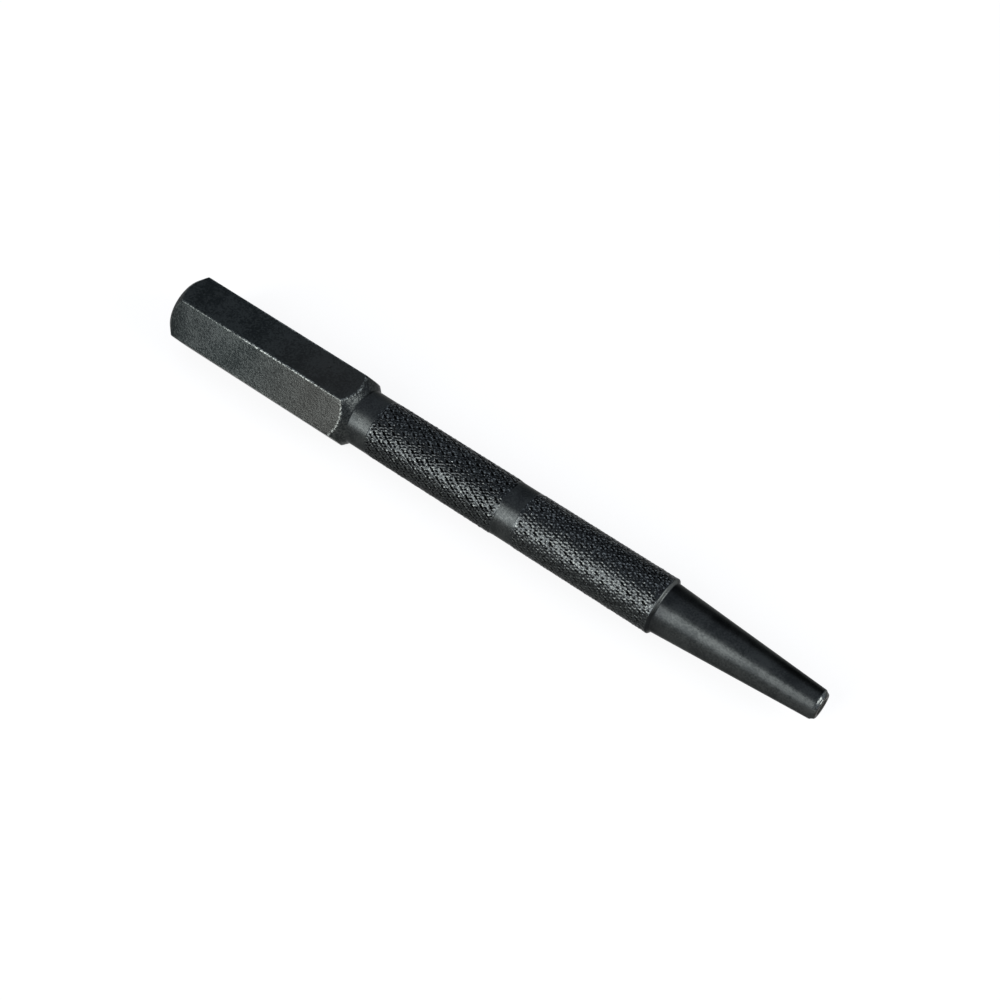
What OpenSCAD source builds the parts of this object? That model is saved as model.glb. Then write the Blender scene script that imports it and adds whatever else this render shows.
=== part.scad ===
// Nail setter: a steel punch with a hexagonal head, two knurled grips and a tapered shank.
// The tool lies along X with the striking face at -X, the tip at +X and a flat of the head at Z 0.

/* [Head] */
// Width of the head across two opposite flats
hex_flats = 9.5; // [9:0.1:14]
// Length of the head from the striking face to the neck
head_l = 30.6; // [15:0.1:60]
// Diameter of the flat face that the hammer strikes
face_d = 8.5; // [5:0.1:9]
// Length of the chamfer between the striking face and the head's corners
face_chamfer_l = 1.3; // [0.5:0.1:2.5]
// Length of the chamfer between the head's corners and the neck
neck_chamfer_l = 1.65; // [0.8:0.05:2.5]
// Length of the piece of the head that carries the striking face
striking_end_l = 3; // [3:0.1:5]
// Length of the piece of the head that narrows to the neck
head_shoulder_l = 3; // [3:0.1:5]

/* [Neck and band] */
// Diameter of the smooth neck in front of the head
neck_d = 7.95; // [5:0.05:8.8]
// Length of the smooth neck
neck_l = 3.15; // [1:0.05:10]
// Diameter of the plain band between the two grips
band_d = 7.85; // [5:0.05:9]
// Length of the plain band
band_l = 2.8; // [1:0.1:10]

/* [Grips] */
// Diameter over the knurl of the grip next to the head
rear_grip_d = 8.1; // [6:0.05:10]
// Length of the grip next to the head
rear_grip_l = 20.9; // [8:0.1:40]
// Diameter over the knurl of the grip next to the shank
front_grip_d = 8; // [6:0.05:10]
// Length of the grip next to the shank
front_grip_l = 21.1; // [8:0.1:40]
// Length of the chamfered shoulder that ends the front grip
shoulder_l = 0.55; // [0.2:0.05:2]

/* [Shank and tip] */
// Diameter of the shank where it leaves the shoulder
shank_d = 7.1; // [5:0.1:7.6]
// Length of the tapered shank up to the tip
shank_l = 20.4; // [10:0.1:40]
// Length of the tip
tip_l = 2.5; // [1.5:0.1:6]
// Diameter that the taper has reached at the end of the tip
tip_d = 4.1; // [3.9:0.05:4.8]
// Radius that rounds the rim of the tip
tip_round = 0.6; // [0.2:0.05:0.65]
// Diameter of the cup's mouth, which sits on the nail
cup_d = 2.4; // [1:0.1:2.4]
// Depth of the cup
cup_depth = 0.5; // [0.2:0.05:0.9]

/* [Hidden] */

$fn = 96;
HEX_SIDES = 6;
// Turn that puts a flat of the head, not a corner, at the bottom
FLAT_TURN = 180 / HEX_SIDES;
// Steps in the arc that rounds the rim of the tip
ROUND_STEPS = 10;
// Overrun of the turned outline past the corners of the head
overrun = 1;

hex_corners = hex_flats / cos(FLAT_TURN);
spill_r = hex_corners / 2 + overrun;

neck_x = head_l;
rear_grip_x = neck_x + neck_l;
band_x = rear_grip_x + rear_grip_l;
front_grip_x = band_x + band_l;
shoulder_x = front_grip_x + front_grip_l;
shank_x = shoulder_x + shoulder_l;
tip_x = shank_x + shank_l;
overall_l = tip_x + tip_l;

// Distance from a chamfer's narrow end at which its cone has spilled past the corners
function spill_l(narrow_d, chamfer_l) =
    chamfer_l * (spill_r - narrow_d / 2) / (hex_corners / 2 - narrow_d / 2);

// Diameter of the taper at a distance from the striking face
function taper_d(x) = shank_d + (tip_d - shank_d) * (x - shank_x) / (overall_l - shank_x);

// Points, as radius and distance, of the arc that rounds the rim of the tip
function rim_points(rim_d, length, round_r) = [
    for (step = [0 : ROUND_STEPS])
    let (angle = 90 * step / ROUND_STEPS)
    [rim_d / 2 - round_r + round_r * cos(angle), length - round_r + round_r * sin(angle)]
];

// Lays a piece that is drawn upwards from its rear end along the tool, from a distance x
module lay_at(x) {
    translate([x - overall_l / 2, 0, hex_flats / 2]) rotate([0, 90, 0]) children();
}

// Round piece between two diameters
module round_piece(x, rear_d, front_d, length) {
    lay_at(x) cylinder(d1 = rear_d, d2 = front_d, h = length);
}

// Turned outline of the head, with a cone at each end that cuts only the corners away
module turned_head() {
    rotate_extrude() polygon([
        [0, 0],
        [face_d / 2, 0],
        [spill_r, spill_l(face_d, face_chamfer_l)],
        [spill_r, head_l - spill_l(neck_d, neck_chamfer_l)],
        [neck_d / 2, head_l],
        [0, head_l]
    ]);
}

// Piece of the hexagonal head between two distances from the striking face
module head_piece(from, to) {
    lay_at(0) intersection() {
        translate([0, 0, from]) linear_extrude(to - from)
            rotate(FLAT_TURN) circle(d = hex_corners, $fn = HEX_SIDES);
        turned_head();
    }
}

module striking_end() {
    color("#4a4f52") head_piece(0, striking_end_l);
}

module hex_head() {
    color("#343a40") head_piece(striking_end_l, head_l - head_shoulder_l);
}

module head_shoulder() {
    color("#4a4f52") head_piece(head_l - head_shoulder_l, head_l);
}

module neck() {
    color("#3a3f44") round_piece(neck_x, neck_d, neck_d, neck_l);
}

module rear_grip() {
    color("#1f2224") round_piece(rear_grip_x, rear_grip_d, rear_grip_d, rear_grip_l);
}

module plain_band() {
    color("#3a3f44") round_piece(band_x, band_d, band_d, band_l);
}

module front_grip() {
    color("#1f2224") round_piece(front_grip_x, front_grip_d, front_grip_d, front_grip_l);
}

module grip_shoulder() {
    color("#4a4f52") round_piece(shoulder_x, front_grip_d, shank_d, shoulder_l);
}

module tapered_shank() {
    color("#3a3f44") round_piece(shank_x, shank_d, taper_d(tip_x), shank_l);
}

// The tip carries the taper on to a rounded rim, and its end is cupped to hold the nail
module tip() {
    cup_r = (pow(cup_d / 2, 2) + pow(cup_depth, 2)) / (2 * cup_depth);
    color("#4a4f52") lay_at(tip_x) difference() {
        rotate_extrude() polygon(concat(
            [[0, 0], [taper_d(tip_x) / 2, 0]],
            rim_points(tip_d, tip_l, tip_round),
            [[0, tip_l]]
        ));
        translate([0, 0, tip_l - cup_depth + cup_r]) sphere(r = cup_r);
    }
}

striking_end();
hex_head();
head_shoulder();
neck();
rear_grip();
plain_band();
front_grip();
grip_shoulder();
tapered_shank();
tip();
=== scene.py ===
import math

import bmesh
import bpy
from mathutils import Matrix, Vector, noise


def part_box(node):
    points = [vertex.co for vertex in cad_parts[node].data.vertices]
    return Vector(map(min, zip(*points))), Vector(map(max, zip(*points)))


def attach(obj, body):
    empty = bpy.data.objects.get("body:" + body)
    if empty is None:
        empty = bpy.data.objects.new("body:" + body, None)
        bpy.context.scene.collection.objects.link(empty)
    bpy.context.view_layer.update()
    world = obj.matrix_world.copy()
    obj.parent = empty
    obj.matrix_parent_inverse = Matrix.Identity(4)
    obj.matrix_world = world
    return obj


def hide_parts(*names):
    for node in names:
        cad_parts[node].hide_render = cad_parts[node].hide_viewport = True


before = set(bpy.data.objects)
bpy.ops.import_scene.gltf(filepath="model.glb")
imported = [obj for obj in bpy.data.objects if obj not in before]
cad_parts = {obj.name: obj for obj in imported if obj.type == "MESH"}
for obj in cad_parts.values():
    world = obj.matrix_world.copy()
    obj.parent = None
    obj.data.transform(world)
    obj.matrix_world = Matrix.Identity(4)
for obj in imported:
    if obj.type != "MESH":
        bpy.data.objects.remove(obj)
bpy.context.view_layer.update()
print("frame: loaded", len(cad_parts), "sections of the bar")

mm = 0.001  # every length is in metres
hair = 0.01 * mm  # room for rounding errors where places are compared
mergeReach = 0.001 * mm  # points closer together than this become one
endFacing = 0.9  # the faces of an end have normals with at least this much of X
roundSteps = 192  # flats round the head's bar and round each smooth section

gripLow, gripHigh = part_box("rear_grip")
axisHeight = (gripLow.z + gripHigh.z) / 2  # the tool's centre line runs along X at this height


# Helpers for the modelling

def startFresh():
    # object mode, nothing selected
    if bpy.context.object and bpy.context.object.mode != "OBJECT":
        bpy.ops.object.mode_set(mode="OBJECT")
    bpy.ops.object.select_all(action="DESELECT")


def pickOnly(piece):
    startFresh()
    piece.select_set(True)
    bpy.context.view_layer.objects.active = piece


def selectWhere(piece, kind, test):
    # in edit mode, selects the piece's faces or edges that pass the test
    bpy.ops.mesh.select_mode(type=kind)
    bpy.ops.mesh.select_all(action="DESELECT")
    shape = bmesh.from_edit_mesh(piece.data)
    for part in shape.faces if kind == "FACE" else shape.edges:
        if test(part):
            part.select_set(True)
    bmesh.update_edit_mesh(piece.data)


def finishPiece(piece, node, material, smoothAngle=30):
    # shading, material and place in the frame
    pickOnly(piece)
    bpy.ops.object.transform_apply(location=True, rotation=True, scale=True)
    bpy.ops.object.shade_smooth_by_angle(angle=math.radians(smoothAngle))
    piece.data.materials.clear()
    piece.data.materials.append(material)
    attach(piece, "root")
    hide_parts(node)


def sectionOf(node):
    # rear end, front end and widest radius of a section of the bar
    low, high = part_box(node)
    return low.x, high.x, (high.z - low.z) / 2


def fromAxis(point):
    # distance of a point from the tool's centre line, and its angle round it from +Y towards +Z
    height = point.z - axisHeight
    return math.hypot(point.y, height), math.atan2(height, point.y)


def onAxis(x, radius, angle):
    # the point at that distance and angle
    return Vector((x, radius * math.cos(angle), axisHeight + radius * math.sin(angle)))


def arcPoints(centre, radius, startAngle, endAngle, cuts):
    # points of an arc in the plane of an outline, angles in degrees from the tool's axis
    sweep = endAngle - startAngle
    angles = [math.radians(startAngle + sweep * i / cuts) for i in range(cuts + 1)]
    return [(centre[0] + radius * math.cos(a), centre[1] + radius * math.sin(a)) for a in angles]


def turnPiece(name, outline, steps):
    # spins an outline of (x, radius) points, which starts and ends on the axis, into a closed solid
    startFresh()
    x, radius = outline[0]
    bpy.ops.mesh.primitive_plane_add(size=mm, location=(x, 0, axisHeight + radius))
    piece = bpy.context.object
    piece.name = piece.data.name = name
    bpy.ops.object.transform_apply(location=True, rotation=True, scale=True)
    bpy.ops.object.mode_set(mode="EDIT")
    bpy.ops.mesh.select_mode(type="VERT")
    bpy.ops.mesh.select_all(action="SELECT")
    bpy.ops.mesh.merge(type="CENTER")
    for (x0, r0), (x1, r1) in zip(outline, outline[1:]):
        bpy.ops.mesh.extrude_region_move(TRANSFORM_OT_translate={"value": (x1 - x0, 0, r1 - r0)})
    bpy.ops.mesh.select_all(action="SELECT")
    bpy.ops.mesh.spin(steps=steps, angle=math.tau, center=(0, 0, axisHeight), axis=(1, 0, 0))
    bpy.ops.mesh.select_all(action="SELECT")
    bpy.ops.mesh.remove_doubles(threshold=mergeReach)
    bpy.ops.mesh.normals_make_consistent(inside=False)
    bpy.ops.object.mode_set(mode="OBJECT")
    return piece


# Helpers for the camera and the lamps

def wayTo(azimuth, elevation):
    # unit vector at angles in degrees; azimuth goes round from -Y towards +X
    azimuth, elevation = math.radians(azimuth), math.radians(elevation)
    return Vector((
        math.sin(azimuth) * math.cos(elevation),
        -math.cos(azimuth) * math.cos(elevation),
        math.sin(elevation),
    ))


def lookBack(device, way, roll):
    # turns a camera or a lamp to look back along its way, and rolls it by some degrees
    turn = way.to_track_quat("Z", "Y").to_matrix() @ Matrix.Rotation(math.radians(roll), 3, "Z")
    device.rotation_euler = turn.to_euler()


# Helpers for the materials

class Wire:
    # one output of a node; sums on wires add Math nodes to the same material
    def __init__(self, tree, socket=None):
        self.tree = tree
        self.socket = socket

    def new(self, kind, settings=None, inputs=None, output=0):
        # any node: its settings go in first, then the values or links of its sockets
        node = self.tree.nodes.new(kind)
        for name, value in (settings or {}).items():
            setattr(node, name, value)
        for name, value in (inputs or {}).items():
            if isinstance(value, Wire):
                self.tree.links.new(value.socket, node.inputs[name])
            else:
                node.inputs[name].default_value = value
        return Wire(self.tree, node.outputs[output] if node.outputs else None)

    def other(self, output):
        # another output of the same node
        return Wire(self.tree, self.socket.node.outputs[output])

    def math(self, operation, *values):
        return self.new("ShaderNodeMath", {"operation": operation}, dict(enumerate(values)))

    def __add__(self, other):
        return self.math("ADD", self, other)

    def __radd__(self, other):
        return self.math("ADD", other, self)

    def __sub__(self, other):
        return self.math("SUBTRACT", self, other)

    def __rsub__(self, other):
        return self.math("SUBTRACT", other, self)

    def __mul__(self, other):
        return self.math("MULTIPLY", self, other)

    def __rmul__(self, other):
        return self.math("MULTIPLY", other, self)

    def __abs__(self):
        return self.math("ABSOLUTE", self)

    def root(self):
        return self.math("SQRT", self)

    def most(self, other):
        return self.math("MAXIMUM", self, other)

    def atLeast(self, least):
        # a mask that goes from least to 1 instead of from 0 to 1
        return self * (1 - least) + least

    def swing(self, reach):
        # a grain, whose middle value is 0.5, as a swing about 0
        return (self - 0.5) * reach

    def fade(self, start, end):
        # 0 at start, 1 at end, with soft ends
        settings = {"interpolation_type": "SMOOTHSTEP"}
        inputs = {"Value": self, "From Min": start, "From Max": end}
        return self.new("ShaderNodeMapRange", settings, inputs)

    def fadeFrom(self, place, offsets):
        # the same between two offsets from a place
        return self.fade(*(place + offset for offset in offsets))


mixLow, mixHigh, mixResult = 6, 7, 2  # the Mix node's sockets for two colours and their mix


def startMaterial(name):
    material = bpy.data.materials.new(name)
    material.use_nodes = True
    material.node_tree.nodes.clear()
    return material, Wire(material.node_tree)


def mixColours(wire, factor, low, high):
    # from low to high as the factor goes from 0 to 1; each colour is (r, g, b) or a wire
    low, high = (colour if isinstance(colour, Wire) else (*colour, 1) for colour in (low, high))
    inputs = {"Factor": factor, mixLow: low, mixHigh: high}
    return wire.new("ShaderNodeMix", {"data_type": "RGBA"}, inputs, output=mixResult)


def toolPlaces(wire):
    # object coordinates, and from them x, y and the height over the centre line
    coords = wire.new("ShaderNodeTexCoord", output="Object")
    x = wire.new("ShaderNodeSeparateXYZ", inputs={"Vector": coords}, output="X")
    return coords, x, x.other("Y"), x.other("Z") - axisHeight


def grain(wire, coords, settings):
    # noise from the width of its blobs, its detail and its roughness
    size, detail, roughness = settings
    inputs = {"Vector": coords, "Scale": 1 / size, "Detail": detail, "Roughness": roughness}
    return wire.new("ShaderNodeTexNoise", {"noise_dimensions": "3D"}, inputs, output="Fac")


def skinTone(wire, look, fine, patches):
    # the two tones of an oxide skin
    share = look["fineShare"]
    tone = (fine * share + patches * (1 - share)).fade(*look["toneFade"])
    return mixColours(wire, tone, look["darkSteel"], look["lightSteel"])


def steelSurface(wire, look, colour, roughness, bump):
    inputs = {"Height": bump, "Distance": look["bumpSize"], "Strength": 1.0}
    normal = wire.new("ShaderNodeBump", inputs=inputs)
    inputs = {
        "Base Color": colour,
        "Roughness": roughness,
        "Metallic": 1.0,
        "Normal": normal,
        "Specular Tint": (*look["edgeTint"], 1),
    }
    surface = wire.new("ShaderNodeBsdfPrincipled", inputs=inputs)
    wire.new("ShaderNodeOutputMaterial", inputs={"Surface": surface})


# The camera stands where the photograph was taken

photoView = {
    "lookAt": (1.90 * mm, 0.42 * mm, 4.75 * mm),
    "azimuth": 31.665,
    "elevation": 53.23,
    "roll": 6.007,
    "distance": 252.1 * mm,
    "lens": 70,
    "sensor": 36,
    "clip": (5 * mm, 100),
}


def placeCamera(view):
    back = wayTo(view["azimuth"], view["elevation"])
    bpy.ops.object.camera_add(location=Vector(view["lookAt"]) + back * view["distance"])
    camera = bpy.context.object
    lookBack(camera, back, view["roll"])
    camera.data.lens = view["lens"]
    camera.data.sensor_width = view["sensor"]
    camera.data.clip_start, camera.data.clip_end = view["clip"]
    bpy.context.scene.camera = camera


startFresh()
placeCamera(photoView)
print("camera: placed")


# Black oxide of the head

# in every look, a grain is the width of its blobs, its detail and its roughness,
# and a fade is where a mask starts and where it is full
headLook = {
    "darkSteel": (0.0125, 0.0150, 0.0150),
    "lightSteel": (0.0300, 0.0340, 0.0330),
    "fineGrain": (0.26 * mm, 3, 0.6),
    "patchGrain": (4 * mm, 4, 0.6),
    "fineShare": 0.6,  # of the fine grain in the tone, against the patches
    "toneFade": (0.42, 0.58),
    "neckwardSteel": (0.038, 0.036, 0.032),  # mixed in towards the neck, lighter and browner
    "neckwardFade": (-40 * mm, -25 * mm),
    "neckwardShare": 0.4,
    "pitSteel": (0.004, 0.004, 0.004),
    "pitGrain": (0.5 * mm, 5, 0.75),
    "pitFade": (0.36, 0.30),
    "pitShare": 0.7,
    "pitBump": 1.2,
    "turnedShadeSteel": (0.018, 0.020, 0.020),  # on the chamfers and the striking face: a darker turned finish, and painted shade for the front chamfer, which faces the dim end of the studio
    "turnedFade": (0.02 * mm, 0.10 * mm),  # in from the flats
    "turnedWear": 0.12,
    "faceFade": (0.08 * mm, 0.02 * mm),  # in front of the striking face
    "ringGrain": (0.16 * mm, 2, 0.6),  # the turning marks on the striking face
    "ringBump": 0.25,
    "dentGrain": (1.1 * mm, 5, 0.7),
    "struckSteel": (0.090, 0.092, 0.090),  # where the hammer has met the striking face
    "struckReach": (4 * mm, 1 * mm),  # out from the centre line
    "struckFade": (0.45, 0.60),
    "bareSteel": (0.28, 0.30, 0.28),
    "scuffGrain": (0.3 * mm, 4, 0.7),  # breaks up the bare metal
    "scuffFade": (0.44, 0.62),
    "ridgeFade": (0.12 * mm, 0.045 * mm),  # in from the hexagon's corners
    "wornPlace": -34 * mm,  # the ridges are worn most about here along the tool
    "wornReach": 15 * mm,
    "leastAlong": 0.2,  # share of that wear far from there
    "upperFade": (-1 * mm, 3 * mm),  # over the centre line
    "leastBelow": 0.25,  # share of that wear on the lower side
    "rearWidth": 0.136 * mm,  # of the bare arcs where the rear chamfer cuts the flats
    "rearWear": 0.4,
    "frontWidth": 0.34 * mm,  # of the same at the front chamfer
    "frontNarrowing": 2,  # times narrower on the chamfer than on the flat
    "roughness": 0.32,
    "fineRoughness": 0.12,
    "wornRoughness": 0.14,
    "bumpSize": 0.036 * mm,
    "edgeTint": (0.5, 0.5, 0.5),
}

flatTurn = math.radians(60)  # from one flat of the hexagon to the next


def flatDistance(y, height):
    # distance from the centre line, square to the nearest flat
    aside, up = y * math.sin(flatTurn), height * math.cos(flatTurn)
    return abs(height).most(abs(aside + up)).most(abs(aside - up))


def headWear(look, head, x, height, radius, inFromFlat):
    # bare metal along the ridges, and in arcs where the two chamfers cut the flats
    alongTool = abs(x - look["wornPlace"]).fade(look["wornReach"], 0).atLeast(look["leastAlong"])
    upperSide = height.fade(*look["upperFade"]).atLeast(look["leastBelow"])
    ridges = (head["cornerRadius"] - radius).fade(*look["ridgeFade"]) * alongTool * upperSide
    rearCone = head["faceRadius"] + (x - head["rear"]) * head["rearSlope"] - radius
    frontCone = head["neckRadius"] + (head["front"] - x) * head["frontSlope"] - radius
    rearArcs = (rearCone + inFromFlat).fade(look["rearWidth"], 0)
    frontArcs = (frontCone + inFromFlat * look["frontNarrowing"]).fade(look["frontWidth"], 0)
    return ridges.most(rearArcs * look["rearWear"]).most(frontArcs)


def blackSteel(look, head):
    material, wire = startMaterial("blackSteel")
    coords, x, y, height = toolPlaces(wire)
    radius = (y * y + height * height).root()
    inFromFlat = head["flatRadius"] - flatDistance(y, height)
    turned = inFromFlat.fade(*look["turnedFade"])
    onFace = x.fadeFrom(head["rear"], look["faceFade"])
    neckward = x.fade(*look["neckwardFade"]) * look["neckwardShare"]

    fine = grain(wire, coords, look["fineGrain"])
    patches = grain(wire, coords, look["patchGrain"])
    pits = grain(wire, coords, look["pitGrain"]).fade(*look["pitFade"])
    scuffs = grain(wire, coords, look["scuffGrain"])
    dents = grain(wire, coords, look["dentGrain"])
    outward = wire.new("ShaderNodeCombineXYZ", inputs={"X": radius})
    rings = grain(wire, outward, look["ringGrain"])

    worn = headWear(look, head, x, height, radius, inFromFlat).most(turned * look["turnedWear"])
    worn = worn * scuffs.fade(*look["scuffFade"])
    struck = onFace * radius.fade(*look["struckReach"]) * dents.fade(*look["struckFade"])

    base = skinTone(wire, look, fine, patches)
    base = mixColours(wire, neckward, base, look["neckwardSteel"])
    base = mixColours(wire, pits * look["pitShare"], base, look["pitSteel"])
    # the chamfers are darker: partly turned finish, partly painted shade
    base = mixColours(wire, turned, base, look["turnedShadeSteel"])
    base = mixColours(wire, struck, base, look["struckSteel"])
    colour = mixColours(wire, worn, base, look["bareSteel"])
    roughness = look["roughness"] + fine.swing(look["fineRoughness"]) + worn * look["wornRoughness"]
    sideBump = fine - pits * look["pitBump"]
    faceBump = rings * look["ringBump"] + dents
    bump = sideBump * (1 - onFace) + faceBump * onFace
    steelSurface(wire, look, colour, roughness, bump)
    return material


# Satin steel of the smooth sections

satinLook = {
    "darkSteel": (0.020, 0.022, 0.022),
    "lightSteel": (0.038, 0.041, 0.040),
    "fineGrain": (0.24 * mm, 3, 0.6),
    "patchGrain": (3 * mm, 4, 0.6),
    "fineShare": 0.5,
    "toneFade": (0.40, 0.60),
    "fineBump": 0.6,
    "turningGrain": (0.12 * mm, 2, 0.6),
    "turningStretch": (1.0, 0.06, 0.06),  # draws the grain out round the tool
    "turningBump": 0.6,
    "tipTint": (0.050, 0.040, 0.032),  # heat tint left at the tip's end
    "tintFade": (-0.2 * mm, 0),  # from the tip's end, as the rim's two
    "tintShare": 0.4,
    "rubbedLitSteel": (0.120, 0.128, 0.122),  # the shoulder and the tip's rim are rubbed half bare, with a painted highlight kept to their upper side, where the lamps reflect
    "rimStart": (-0.75 * mm, -0.45 * mm),
    "rimEnd": (0, -0.1 * mm),
    "rimLitHeight": (0.4 * mm, 1.5 * mm),  # over the centre line, where the rim's painted highlight lies
    "rimScuffs": (0.40, 0.54),
    "rimPolish": 0.10,
    "stepStart": (-0.05 * mm, 0.05 * mm),  # from the shoulder's rear end
    "stepEnd": (0, -0.2 * mm),  # from its front end
    "stepLitHeight": (2 * mm, 3.2 * mm),  # over the centre line, where the step's painted highlight lies
    "stepScuffs": (0.25, 0.50),
    "stepWearAndHighlight": 0.6,
    "stepRoughness": 0.08,
    # the shoulder's step and the shank next to it are darkened: painted shade
    "stepShade": 0.8,
    "hollowShadowSteel": (0.010, 0.011, 0.012),  # painted shadow on the shoulder's step and where the shank meets it
    "hollowStart": (-0.1 * mm, 0),  # from the shoulder's rear end
    "hollowEnd": (3 * mm, 0),  # from its front end
    "hollowShade": 0.55,
    "scuffGrain": (0.25 * mm, 4, 0.7),  # breaks up the rubbed metal
    "roughness": 0.32,
    "patchRoughness": 0.14,
    "bumpSize": 0.010 * mm,
    "edgeTint": (0.5, 0.5, 0.5),
}


def satinSteel(look, stepRear, stepFront, tipEnd):
    material, wire = startMaterial("satinSteel")
    coords, x, _, height = toolPlaces(wire)
    tint = x.fadeFrom(tipEnd, look["tintFade"]) * look["tintShare"]
    rim = x.fadeFrom(tipEnd, look["rimStart"]) * x.fadeFrom(tipEnd, look["rimEnd"])
    rim = rim * height.fade(*look["rimLitHeight"])
    step = x.fadeFrom(stepRear, look["stepStart"]) * x.fadeFrom(stepFront, look["stepEnd"])
    litStep = step * height.fade(*look["stepLitHeight"])
    hollow = x.fadeFrom(stepRear, look["hollowStart"]) * x.fadeFrom(stepFront, look["hollowEnd"])
    # painted shade on the step and on the shank beside it
    shade = (step * look["stepShade"]).most(hollow * look["hollowShade"])

    fine = grain(wire, coords, look["fineGrain"])
    patches = grain(wire, coords, look["patchGrain"])
    scuffs = grain(wire, coords, look["scuffGrain"])
    mapping = {"Vector": coords, "Scale": look["turningStretch"]}
    turning = grain(wire, wire.new("ShaderNodeMapping", inputs=mapping), look["turningGrain"])

    # rubbed metal and painted highlight, on the upper side only
    rubbedLitRim = rim * scuffs.fade(*look["rimScuffs"])
    rubbedLitStep = litStep * scuffs.fade(*look["stepScuffs"]) * look["stepWearAndHighlight"]
    base = skinTone(wire, look, fine, patches)
    base = mixColours(wire, tint, base, look["tipTint"])
    base = mixColours(wire, shade, base, look["hollowShadowSteel"])
    colour = mixColours(wire, rubbedLitRim.most(rubbedLitStep), base, look["rubbedLitSteel"])
    roughness = look["roughness"] + patches.swing(look["patchRoughness"])
    roughness = roughness - rim * look["rimPolish"] + litStep * look["stepRoughness"]
    bump = fine * look["fineBump"] + turning * look["turningBump"]
    steelSurface(wire, look, colour, roughness, bump)
    return material


# Dark steel of the knurl

knurlLook = {
    "crestSteel": (0.0255, 0.0280, 0.0285),
    "grooveSteel": (0.003, 0.003, 0.003),
    "grooveFade": (0.05, 0.38),  # as shares of the deepest pit
    "rubbedGlintSteel": (0.068, 0.074, 0.070),  # on the raised points and specks: oxide worn thin, and painted glints
    "bareSteel": (0.190, 0.205, 0.200),  # painted glints: the raised points on the far upper side, made brighter still
    "burrFade": (0.35, 0.75),
    "farGlintFade": (-1.6 * mm, -0.6 * mm),  # along Y
    "farGlintHeight": (0, 1 * mm),  # over the centre line
    "speckGrain": (0.22 * mm, 2, 0.6),
    "speckFade": (0.58, 0.65),
    "poreGrain": (0.22 * mm, 3, 0.7),
    "poreFade": (0.47, 0.38),
    "poreShare": 0.6,
    "fineGrain": (0.1 * mm, 3, 0.6),
    "roughness": 0.20,
    "fineRoughness": 0.15,
    "bumpSize": 0.006 * mm,
    "edgeTint": (0.55, 0.55, 0.55),
}


def knurledSteel(look):
    material, wire = startMaterial("knurledSteel")
    coords, _, y, height = toolPlaces(wire)
    # painted glints on the far upper side
    farGlints = y.fade(*look["farGlintFade"]) * height.fade(*look["farGlintHeight"])
    groove = wire.new("ShaderNodeAttribute", {"attribute_name": "grooveDepth"}, output="Fac")
    burrTop = wire.new("ShaderNodeAttribute", {"attribute_name": "burrTop"}, output="Fac")
    fine = grain(wire, coords, look["fineGrain"])
    pores = grain(wire, coords, look["poreGrain"]).fade(*look["poreFade"])
    specks = grain(wire, coords, look["speckGrain"]).fade(*look["speckFade"])

    # worn points and painted glints
    raised = burrTop.fade(*look["burrFade"]).most(specks)
    rubbedAndGlints = mixColours(wire, farGlints, look["rubbedGlintSteel"], look["bareSteel"])
    base = mixColours(wire, raised, look["crestSteel"], rubbedAndGlints)
    base = mixColours(wire, pores * look["poreShare"], base, look["grooveSteel"])
    colour = mixColours(wire, groove.fade(*look["grooveFade"]), base, look["grooveSteel"])
    roughness = look["roughness"] + fine.swing(look["fineRoughness"])
    steelSurface(wire, look, colour, roughness, fine)
    return material


# Hexagonal head

headRear, _, flatRadius = sectionOf("striking_end")
_, headFront, _ = sectionOf("head_shoulder")
_, _, neckRadius = sectionOf("neck")

head = {
    "rear": headRear,
    "front": headFront,
    "flatRadius": flatRadius,
    "cornerRadius": flatRadius / math.cos(flatTurn / 2),
    "neckRadius": neckRadius,
    "faceRadius": 4.25 * mm,
    "faceChamfer": 1.3 * mm,  # along the axis, at the corners
    "neckChamfer": 1.65 * mm,
    "filletRadius": 0.5 * mm,  # between the front chamfer and the neck
    "filletCuts": 3,
    "sharpAngle": 20,  # edges with more degrees than this get a round
    "edgeRound": 0.08 * mm,
    "roundCuts": 3,
}
head["rearSlope"] = (head["cornerRadius"] - head["faceRadius"]) / head["faceChamfer"]
head["frontSlope"] = (head["cornerRadius"] - head["neckRadius"]) / head["neckChamfer"]

# the fillet's arc, in degrees, starts on the front chamfer and ends on the neck;
# the head's last section ends part of the way along it
frontAngle = math.degrees(math.atan(head["frontSlope"]))
filletCentre = (
    head["front"] + head["filletRadius"] * math.tan(math.radians(frontAngle / 2)),
    head["neckRadius"] + head["filletRadius"],
)
filletStart, filletEnd = 270 - frontAngle, 270
filletSplit = filletEnd - math.degrees(
    math.asin((filletCentre[0] - head["front"]) / head["filletRadius"]))


def hexagonRadius(angle):
    # distance from the axis to the hexagon's side, with corners at 0, 60, 120... degrees
    return head["flatRadius"] / math.cos(angle % flatTurn - flatTurn / 2)


def drawInEnds(bar):
    # each end is drawn in to smaller circles, which leaves rings for the chamfer and the fillet
    rearRings = [(head["rear"], head["faceRadius"])]
    frontRings = arcPoints(
        filletCentre, head["filletRadius"], filletStart, filletSplit, head["filletCuts"])
    bpy.ops.object.mode_set(mode="EDIT")
    for x, side, rings in ((head["rear"], -1, rearRings), (head["front"], 1, frontRings)):
        selectWhere(bar, "FACE", lambda face: face.normal.x * side > endFacing)
        radius = head["cornerRadius"]
        for ringX, ringRadius in rings:
            share = ringRadius / radius
            middle = (ringX, 0, axisHeight)
            bpy.ops.mesh.extrude_region_move(TRANSFORM_OT_translate={"value": (ringX - x, 0, 0)})
            bpy.ops.transform.resize(value=(1, share, share), center_override=middle)
            x, radius = ringX, ringRadius
    bpy.ops.object.mode_set(mode="OBJECT")


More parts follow.
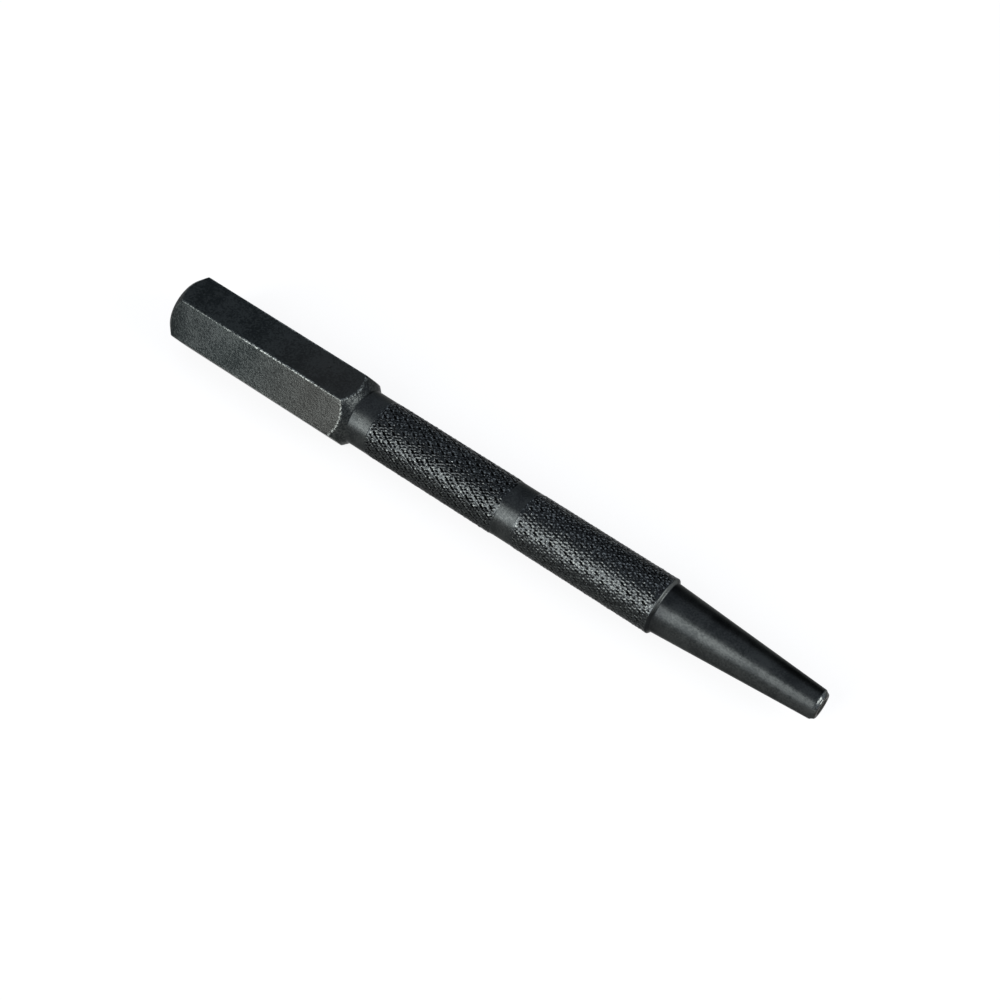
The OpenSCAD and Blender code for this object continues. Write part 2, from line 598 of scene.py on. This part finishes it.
def pullToHexagon(bar):
    # the bar's skin goes in to the hexagon, and its ends go back to where the cones cut it
    middle = (head["rear"] + head["front"]) / 2
    for vertex in bar.data.vertices:
        radius, angle = fromAxis(vertex.co)
        if radius < head["cornerRadius"] - hair:
            continue
        side = hexagonRadius(angle)
        if vertex.co.x < middle:
            x = head["rear"] + (side - head["faceRadius"]) / head["rearSlope"]
        else:
            x = head["front"] - (side - head["neckRadius"]) / head["frontSlope"]
        vertex.co = onAxis(x, side, angle)


def roundEdges(bar):
    # the ridges and the chamfers' edges, but not the edge that meets the neck
    sharp, atNeck = math.radians(head["sharpAngle"]), head["front"] - hair
    pickOnly(bar)
    bpy.ops.object.mode_set(mode="EDIT")
    selectWhere(bar, "EDGE", lambda edge: (
        edge.calc_face_angle(0) > sharp and edge.verts[0].co.x < atNeck))
    bpy.ops.mesh.bevel(
        offset=head["edgeRound"], segments=head["roundCuts"], affect="EDGES", clamp_overlap=False)
    bpy.ops.object.mode_set(mode="OBJECT")


def makeHead():
    startFresh()
    bpy.ops.mesh.primitive_cylinder_add(
        vertices=roundSteps, radius=head["cornerRadius"], depth=head["front"] - head["rear"],
        location=((head["rear"] + head["front"]) / 2, 0, axisHeight),
        rotation=(0, math.radians(90), 0))
    bar = bpy.context.object
    bar.name = bar.data.name = "head"
    bpy.ops.object.transform_apply(location=True, rotation=True, scale=True)
    drawInEnds(bar)
    pullToHexagon(bar)
    roundEdges(bar)
    return bar


def cutBar(bar, name, start, end):
    # a copy of the bar between two places, closed with flat ends
    pickOnly(bar)
    bpy.ops.object.duplicate()
    part = bpy.context.object
    part.name = part.data.name = name
    bpy.ops.object.mode_set(mode="EDIT")
    for x, keepFront in ((start, True), (end, False)):
        if head["rear"] + hair < x < head["front"] - hair:
            bpy.ops.mesh.select_all(action="SELECT")
            bpy.ops.mesh.bisect(
                plane_co=(x, 0, axisHeight), plane_no=(1, 0, 0), use_fill=True,
                clear_inner=keepFront, clear_outer=not keepFront)
    bpy.ops.object.mode_set(mode="OBJECT")
    return part


headSteel = blackSteel(headLook, head)
bar = makeHead()
for node in ("striking_end", "hex_head", "head_shoulder"):
    start, end, _ = sectionOf(node)
    piece = cutBar(bar, node + "_steel", start, end)
    finishPiece(piece, node, headSteel)
bpy.data.objects.remove(bar)
print("head: hexagonal bar cut into its three sections")


# Neck, band, shoulder, shank and tip

shoulder = {
    "edgeRound": 0.2 * mm,
    "slope": 30,  # degrees between its steep part's normal and the tool's axis
    "hollowRound": 0.27 * mm,
    "cuts": 5,  # edges in each of its two arcs
}

# an arc is its start and end in degrees from the tool's axis, and its number of edges
tip = {
    "endRadius": 2.05 * mm,  # the taper would reach this at the end
    "ringPlace": 0.72 * mm,  # before the end, where the taper rounds off into the turned ring
    "ringRound": 0.38 * mm,
    "ringArc": (90, 40, 6),
    "lipRadius": 1.85 * mm,  # the lip stands in front of the ring
    "lipRound": 0.3 * mm,
    "lipArc": (80, 0, 8),
    "cupRadius": 1.2 * mm,
    "cupDepth": 0.5 * mm,
    "cupCuts": 8,
}


def makeNeck():
    start, end, radius = sectionOf("neck")
    outline = [(start, 0)]
    outline += arcPoints(
        filletCentre, head["filletRadius"], filletSplit, filletEnd, head["filletCuts"])
    outline += [(end, radius), (end, 0)]
    return turnPiece("neck_steel", outline, roundSteps)


def makeSleeve(node):
    start, end, radius = sectionOf(node)
    outline = [(start, 0), (start, radius), (end, radius), (end, 0)]
    return turnPiece(node + "_steel", outline, roundSteps)


def makeShoulder():
    # rounded off the grip, then steep, then hollow into the shank
    start, end, radius = sectionOf("grip_shoulder")
    _, _, shankRadius = sectionOf("tapered_shank")
    edge, hollow = shoulder["edgeRound"], shoulder["hollowRound"]
    slope, cuts = shoulder["slope"], shoulder["cuts"]
    outline = [(start, 0)]
    outline += arcPoints((start, radius - edge), edge, 90, slope, cuts)
    outline += arcPoints((end, shankRadius + hollow), hollow, 180 + slope, 270, cuts)
    outline += [(end, 0)]
    return turnPiece("grip_shoulder_steel", outline, roundSteps)


def makeCone(node, nextNode):
    start, end, radius = sectionOf(node)
    _, _, endRadius = sectionOf(nextNode)
    outline = [(start, 0), (start, radius), (end, endRadius), (end, 0)]
    return turnPiece(node + "_steel", outline, roundSteps)


def makeTip():
    # the taper, the turned ring, the lip, and a cup that is part of a ball
    start, end, radius = sectionOf("tip")
    ringRound, lipRound = tip["ringRound"], tip["lipRound"]
    cupRadius, cupDepth = tip["cupRadius"], tip["cupDepth"]
    taper = (radius - tip["endRadius"]) / (end - start)
    ring = (end - tip["ringPlace"], tip["endRadius"] + taper * tip["ringPlace"] - ringRound)
    lip = (end - lipRound, tip["lipRadius"] - lipRound)
    ballRadius = (cupRadius ** 2 + cupDepth ** 2) / (2 * cupDepth)
    ball = (end - cupDepth + ballRadius, 0)
    reach = math.degrees(math.asin(cupRadius / ballRadius))
    outline = [(start, 0), (start, radius)]
    outline += arcPoints(ring, ringRound, *tip["ringArc"])
    outline += arcPoints(lip, lipRound, *tip["lipArc"])
    outline += arcPoints(ball, ballRadius, 180 - reach, 180, tip["cupCuts"])
    return turnPiece("tip_steel", outline, roundSteps)


stepRear, stepFront, _ = sectionOf("grip_shoulder")
_, tipEnd, _ = sectionOf("tip")
satin = satinSteel(satinLook, stepRear, stepFront, tipEnd)
for node, piece in (
    ("neck", makeNeck()),
    ("plain_band", makeSleeve("plain_band")),
    ("grip_shoulder", makeShoulder()),
    ("tapered_shank", makeCone("tapered_shank", "tip")),
    ("tip", makeTip()),
):
    finishPiece(piece, node, satin)
print("smooth sections: turned")


# Knurled grips

# a vary is the size of a noise's blobs, its middle and how far it swings to each side
knurl = {
    "teeth": 19,  # round the grip
    "axialPitch": 2.37 * mm,  # one diamond to the next along the grip
    "cuts": 12,  # rows of the mesh in one diamond
    "firstRow": 9,  # where in a diamond the grips start
    "depth": 0.10 * mm,
    "depthVary": (0.9 * mm, 0.85, 0.5),
    "flank": 0.4,  # depth of the rows beside a pit's own, as a share of it
    "pitEnd": 0.5,  # depth of a pit's first and last point, the same way
    "burr": 0.04 * mm,  # height of the raised points over the flats between the pits
    "unevenness": 0.012 * mm,
    "skinVary": (0.17 * mm, 1, 1),
    "plainEnd": 0.15 * mm,  # left smooth at each end of the grip
    "raggedEnd": 0.7 * mm,  # the knurl dies away over about this length
    "raggedVary": (0.6 * mm, 0.5, 0.7),
    "smoothAngle": 25,
}

# pits of one diamond: the line that each lies on, its place, start and end in rows, and its depth
rearPits = [
    ("rise", 1, 3, 6, 1.0), ("rise", 1, 8, 11, 1.0),
    ("rise", 5, 3, 6, 0.85), ("rise", 5, 8, 11, 0.85),
    ("fall", 5, 8, 13, 1.0), ("fall", 0, 6, 8, 0.5),
    ("rise", 9, 9, 11, 0.4), ("fall", 1, 2, 4, 0.4),
]
frontPits = [
    ("fall", 5, 7, 10, 0.85), ("fall", 5, 11, 13, 0.85),
    ("rise", 4, 7, 10, 0.65), ("rise", 4, 1, 3, 0.5),
    ("fall", 11, 7, 10, 0.5), ("fall", 2, 0, 2, 0.5),
    ("fall", 8, 0, 2, 0.5), ("fall", 11, 1, 3, 0.35),
]

# raised points beside the pits: rise and fall of the top, its reach in rows, and its height
rearBurrs = [
    (11.2, 7.4, 2.0, 1.0), (9.3, 3.0, 1.5, 0.8), (10.2, 10.5, 1.5, 0.6),
    (7.0, 9.0, 1.7, 0.7), (3.2, 0.5, 1.6, 0.6), (3.0, 5.5, 1.3, 0.5),
    (7.4, 4.6, 1.3, 0.5),
]
frontBurrs = [
    (6.0, 2.0, 1.7, 1.0), (6.6, 7.4, 1.7, 1.0), (10.2, 2.6, 1.6, 0.9),
    (10.0, 8.0, 1.6, 0.9), (2.2, 6.0, 1.4, 0.6), (1.8, 10.0, 1.4, 0.6),
]


def shortWay(gap):
    # a gap between two places in the pattern, taken the short way round a diamond
    half = knurl["cuts"] / 2
    return (gap + half) % knurl["cuts"] - half


def pitShare(pits, rise, fall):
    # depth at a point of the pattern, from 0 to 1
    deepest = 0
    for line, place, start, end, share in pits:
        across, along = (rise, fall) if line == "rise" else (fall, rise)
        aside = abs(shortWay(across - place))
        fromStart = (along - start) % knurl["cuts"]
        if aside <= 1 and fromStart <= end - start:
            flank = knurl["flank"] if aside else 1
            pitEnd = knurl["pitEnd"] if fromStart in (0, end - start) else 1
            deepest = max(deepest, share * flank * pitEnd)
    return deepest


def burrShare(burrs, rise, fall):
    # height at a point of the pattern, from 0 to 1
    highest = 0
    for topRise, topFall, reach, share in burrs:
        away = shortWay(rise - topRise) ** 2 + shortWay(fall - topFall) ** 2
        highest = max(highest, share * (1 - away / reach ** 2))
    return highest


def vary(point, settings):
    size, middle, swing = settings
    return middle + swing * noise.noise(point / size)


def makeBlank(node, rows, columns):
    # every face of its skin gets a point in the middle, so that the edges run along the pits
    start, end, crest = sectionOf(node)
    outline = [(start, 0)]
    outline += [(start + (end - start) * i / rows, crest) for i in range(rows + 1)]
    outline += [(end, 0)]
    blank = turnPiece(node + "_steel", outline, columns)
    pickOnly(blank)
    bpy.ops.object.mode_set(mode="EDIT")
    selectWhere(blank, "FACE", lambda face: abs(face.normal.x) < endFacing)
    bpy.ops.mesh.poke()
    bpy.ops.object.mode_set(mode="OBJECT")
    return blank


def makeGrip(node, rearNode, frontNode, pits, burrs):
    start, end, crest = sectionOf(node)
    _, _, rearRadius = sectionOf(rearNode)
    _, _, frontRadius = sectionOf(frontNode)
    rows = round((end - start) * knurl["cuts"] / knurl["axialPitch"])
    columns = knurl["teeth"] * knurl["cuts"]
    grip = makeBlank(node, rows, columns)
    depths = [0.0] * len(grip.data.vertices)
    tops = depths.copy()
    for i, vertex in enumerate(grip.data.vertices):
        radius, angle = fromAxis(vertex.co)
        if radius < crest - hair:
            continue  # the middle of an end
        x = vertex.co.x
        along = rows * (x - start) / (end - start) + knurl["firstRow"]
        turn = columns * (math.pi - angle) / math.tau
        rise, fall = round(along - turn), round(along + turn)
        fromEnd = min(x - start, end - x)
        ragged = knurl["raggedEnd"] * vary(vertex.co, knurl["raggedVary"])
        alive = min(max((fromEnd - knurl["plainEnd"]) / ragged, 0), 1)
        burr = burrShare(burrs, rise, fall)
        depths[i] = pitShare(pits, rise, fall) * alive * vary(vertex.co, knurl["depthVary"])
        tops[i] = burr * alive
        # the skin comes up to the crests from the sections at the grip's ends
        endRadius = rearRadius if x < (start + end) / 2 else frontRadius
        skin = endRadius + (crest - endRadius) * min(fromEnd / knurl["raggedEnd"], 1)
        low = knurl["burr"] * (1 - burr) + knurl["unevenness"] * vary(vertex.co, knurl["skinVary"])
        vertex.co = onAxis(x, skin - low * alive - depths[i] * knurl["depth"], angle)
    for name, values in (("grooveDepth", depths), ("burrTop", tops)):
        grip.data.attributes.new(name, "FLOAT", "POINT").data.foreach_set("value", values)
    return grip


knurlSteel = knurledSteel(knurlLook)
for node, rearNode, frontNode, pits, burrs in (
    ("rear_grip", "neck", "plain_band", rearPits, rearBurrs),
    ("front_grip", "plain_band", "grip_shoulder", frontPits, frontBurrs),
):
    grip = makeGrip(node, rearNode, frontNode, pits, burrs)
    finishPiece(grip, node, knurlSteel, knurl["smoothAngle"])
    print("grip:", node, "knurled")


# Floor, lights and backdrop

studio = {
    "floorSize": 12,
    "floorColour": (0.9, 0.9, 0.9),
    "floorGlow": 0.85,  # share of the floor's white that doesn't dim in the shadow
    "skyColour": (0.60, 0.65, 0.75),
    "horizonColour": (0.75, 0.75, 0.75),
    "horizonFade": (0.005, 0.05),
    "darkColour": (0.02, 0.02, 0.02),
    "darkAzimuth": 178,  # the dim end of the studio, behind the tool
    "darkAlong": (0, 0.2),  # the three reaches of the dim end, as sines
    "darkAside": (0.29, 0.24),
    "darkHeight": (0.82, 0.70),
}

lamps = {
    "keyLamp": {
        "azimuth": -14, "elevation": 33.6, "tilt": 0, "distance": 1.2,
        "size": (0.46, 0.96), "power": 13.1,
    },
    "lowLamp": {
        "azimuth": -24, "elevation": 13.5, "tilt": 36, "distance": 1.1,
        "size": (0.2, 0.56), "power": 2.7,
    },
    "sideLamp": {
        "azimuth": 99, "elevation": 27, "tilt": 0, "distance": 1.0,
        "size": (0.55, 0.35), "power": 5.8,
    },
}


def makeFloor():
    startFresh()
    bpy.ops.mesh.primitive_plane_add(size=studio["floorSize"], location=(0, 0, 0))
    floor = bpy.context.object
    floor.name = floor.data.name = "floor"
    material, wire = startMaterial("paleFloor")
    camera = wire.new("ShaderNodeLightPath", output="Is Camera Ray")
    seen = camera.most(camera.other("Is Glossy Ray")).most(camera.other("Is Transmission Ray"))
    matt = wire.new("ShaderNodeBsdfDiffuse", inputs={"Color": (*studio["floorColour"], 1)})
    glow = wire.new("ShaderNodeEmission", inputs={"Color": (1, 1, 1, 1), "Strength": 1.0})
    mix = {0: seen * studio["floorGlow"], 1: matt, 2: glow}
    surface = wire.new("ShaderNodeMixShader", inputs=mix)
    wire.new("ShaderNodeOutputMaterial", inputs={"Surface": surface})
    floor.data.materials.append(material)


def makeSky():
    world = bpy.data.worlds.new("studio")
    bpy.context.scene.world = world
    world.use_nodes = True
    world.node_tree.nodes.clear()
    wire = Wire(world.node_tree)
    coords = wire.new("ShaderNodeTexCoord", output="Generated")
    height = wire.new("ShaderNodeSeparateXYZ", inputs={"Vector": coords}, output="Z")
    horizon = height.fade(*studio["horizonFade"])
    colour = mixColours(wire, horizon, studio["horizonColour"], studio["skyColour"])
    along, aside = (
        wire.new(
            "ShaderNodeVectorMath", {"operation": "DOT_PRODUCT"},
            {0: coords, 1: wayTo(studio["darkAzimuth"] + turn, 0)}, output="Value")
        for turn in (0, 90))
    dark = along.fade(*studio["darkAlong"]) * abs(aside).fade(*studio["darkAside"])
    dark = dark * height.fade(*studio["darkHeight"])
    colour = mixColours(wire, dark, colour, studio["darkColour"])
    backdrop = wire.new("ShaderNodeBackground", inputs={"Color": colour, "Strength": 1.0})
    wire.new("ShaderNodeOutputWorld", inputs={"Surface": backdrop})


def makeLamp(name, lamp):
    way = wayTo(lamp["azimuth"], lamp["elevation"])
    startFresh()
    bpy.ops.object.light_add(type="AREA", location=way * lamp["distance"])
    light = bpy.context.object
    light.name = light.data.name = name
    lookBack(light, way, lamp["tilt"])
    light.data.shape = "RECTANGLE"
    light.data.size, light.data.size_y = lamp["size"]
    light.data.energy = lamp["power"]


makeFloor()
makeSky()
for name, lamp in lamps.items():
    makeLamp(name, lamp)
bpy.context.scene.view_settings.view_transform = "Standard"
print("studio: floor, backdrop and lamps")
